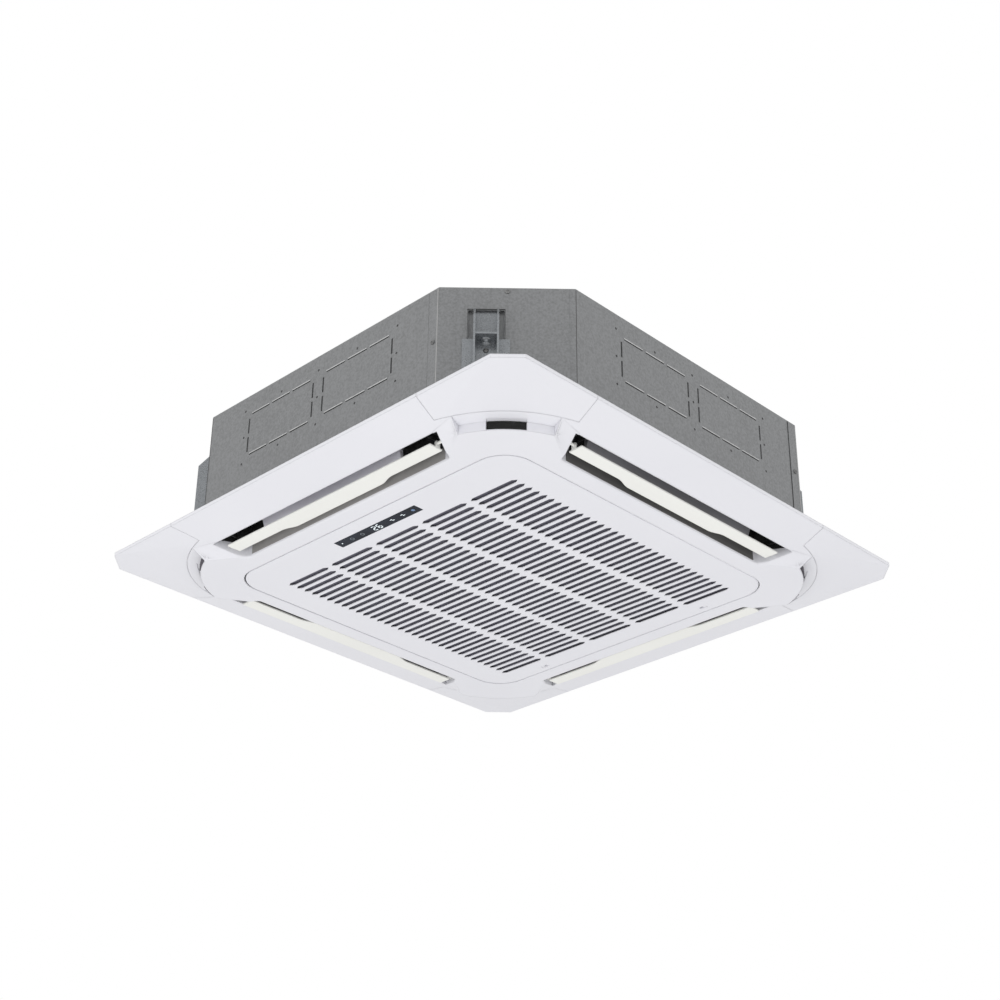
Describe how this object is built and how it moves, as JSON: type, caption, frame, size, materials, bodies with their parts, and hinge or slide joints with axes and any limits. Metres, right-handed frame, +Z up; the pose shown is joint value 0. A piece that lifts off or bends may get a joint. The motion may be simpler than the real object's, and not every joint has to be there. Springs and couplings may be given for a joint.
{
  "type": "ceiling cassette air conditioner",
  "caption": "Ceiling cassette indoor air conditioner: a low steel cabinet with cut-off corners over a square white panel with a centre intake grille and a swinging air vane on each side.",
  "frame": {"origin": "middle of the rectangle of hanging bolt holes, at the underside of the brackets' shelves, where the rods' lower nuts press", "axes": "+Z up to the ceiling slab, -Y the side with the display, +X to the right of a person who faces that side, +Y the side with the drain outlet"},
  "size_m": [0.95, 0.955, 0.255],
  "materials": {
    "cabinet_steel": "matt galvanised sheet",
    "bracket_steel": "matt galvanised sheet",
    "screw_steel": "zinc plated",
    "foam_black": "closed-cell foam",
    "motor_paint": "matt black paint",
    "motor_tin": "tin plated",
    "rubber_black": "matt rubber",
    "fan_plastic": "moulded, matt",
    "bell_plastic": "moulded, matt",
    "foam_white": "moulded expanded foam",
    "fin_aluminium": "plain",
    "copper": "plain copper",
    "brass": "machined",
    "pump_plastic": "moulded",
    "float_plastic": "moulded",
    "drain_plastic": "smooth moulded",
    "box_steel": "galvanised sheet",
    "board_green": "lacquered board",
    "terminal_plastic": "moulded",
    "panel_white": "fine satin moulding, white",
    "grille_white": "fine satin moulding, white",
    "latch_white": "fine satin moulding, white",
    "vane_cream": "satin moulding, cream white",
    "filter_plastic": "moulded, dark grey",
    "filter_net": "fine woven net",
    "display_dark": "smoked glossy window"
  },
  "bodies": {
    "unit": {"top_panel": "cabinet_steel", "side_panel_front": "cabinet_steel", "side_panel_right": "cabinet_steel", "side_panel_back": "cabinet_steel", "side_panel_left": "cabinet_steel", "corner_panel_front_right": "cabinet_steel", "corner_panel_back_right": "cabinet_steel", "corner_panel_back_left": "cabinet_steel", "corner_panel_front_left": "cabinet_steel", "pipe_cover": "cabinet_steel", "coil_end_plates": "cabinet_steel", "hanging_bracket_front_right": "bracket_steel", "hanging_bracket_back_right": "bracket_steel", "hanging_bracket_back_left": "bracket_steel", "hanging_bracket_front_left": "bracket_steel", "body_screws": "screw_steel", "panel_screws": "screw_steel", "foam_liner": "foam_black", "panel_seal": "foam_black", "fan_motor": "motor_paint", "vane_motors": "motor_tin", "motor_dampers": "rubber_black", "drain_plug": "rubber_black", "cable_grommet": "rubber_black", "bell_mouth": "bell_plastic", "drain_pan": "foam_white", "coil_fins": "fin_aluminium", "coil_bends": "copper", "gas_pipe": "copper", "liquid_pipe": "copper", "gas_union": "brass", "liquid_union": "brass", "drain_pump": "pump_plastic", "float_stem": "pump_plastic", "drain_outlet": "drain_plastic", "control_box": "box_steel", "control_box_lid": "box_steel", "circuit_board": "board_green", "terminal_block": "terminal_plastic", "panel_frame": "panel_white", "corner_cover_front_right": "panel_white", "corner_cover_back_right": "panel_white", "corner_cover_back_left": "panel_white", "corner_cover_front_left": "panel_white"},
    "fan": {"fan_wheel": "fan_plastic", "motor_shaft": "screw_steel", "fan_nut": "screw_steel"},
    "grille": {"intake_grille": "grille_white", "filter_frame": "filter_plastic", "filter_mesh": "filter_net", "grille_hinge_pins": "screw_steel", "display_lens": "display_dark", "display_board": "board_green"},
    "latch_left": {"grille_latch_left": "latch_white"},
    "latch_right": {"grille_latch_right": "latch_white"},
    "float": {"float_ring": "float_plastic"},
    "vane_front": {"vane_front": "vane_cream"},
    "vane_right": {"vane_right": "vane_cream"},
    "vane_back": {"vane_back": "vane_cream"},
    "vane_left": {"vane_left": "vane_cream"}
  },
  "joints": [
    {"name": "fan_spin", "type": "hinge", "parent": "unit", "child": "fan", "pos_m": [0, 0, 0.0005], "axis": [0, 0, 1], "continuous": true},
    {"name": "vane_front_pivot", "type": "hinge", "parent": "unit", "child": "vane_front", "pos_m": [0, -0.378, -0.139], "axis": [1, 0, 0], "range_deg": [-14, 56]},
    {"name": "vane_right_pivot", "type": "hinge", "parent": "unit", "child": "vane_right", "pos_m": [0.378, 0, -0.139], "axis": [0, 1, 0], "range_deg": [-14, 56]},
    {"name": "vane_back_pivot", "type": "hinge", "parent": "unit", "child": "vane_back", "pos_m": [0, 0.378, -0.139], "axis": [-1, 0, 0], "range_deg": [-14, 56]},
    {"name": "vane_left_pivot", "type": "hinge", "parent": "unit", "child": "vane_left", "pos_m": [-0.378, 0, -0.139], "axis": [0, -1, 0], "range_deg": [-14, 56]},
    {"name": "grille_hinge", "type": "hinge", "parent": "unit", "child": "grille", "pos_m": [0, -0.294, -0.1505], "axis": [-1, 0, 0], "range_deg": [0, 45]},
    {"name": "latch_left_slide", "type": "slide", "parent": "grille", "child": "latch_left", "axis": [1, 0, 0], "range_m": [0, 0.008]},
    {"name": "latch_right_slide", "type": "slide", "parent": "grille", "child": "latch_right", "axis": [-1, 0, 0], "range_m": [0, 0.008]},
    {"name": "float_lift", "type": "slide", "parent": "unit", "child": "float", "axis": [0, 0, 1], "range_m": [0, 0.01]}
  ]
}
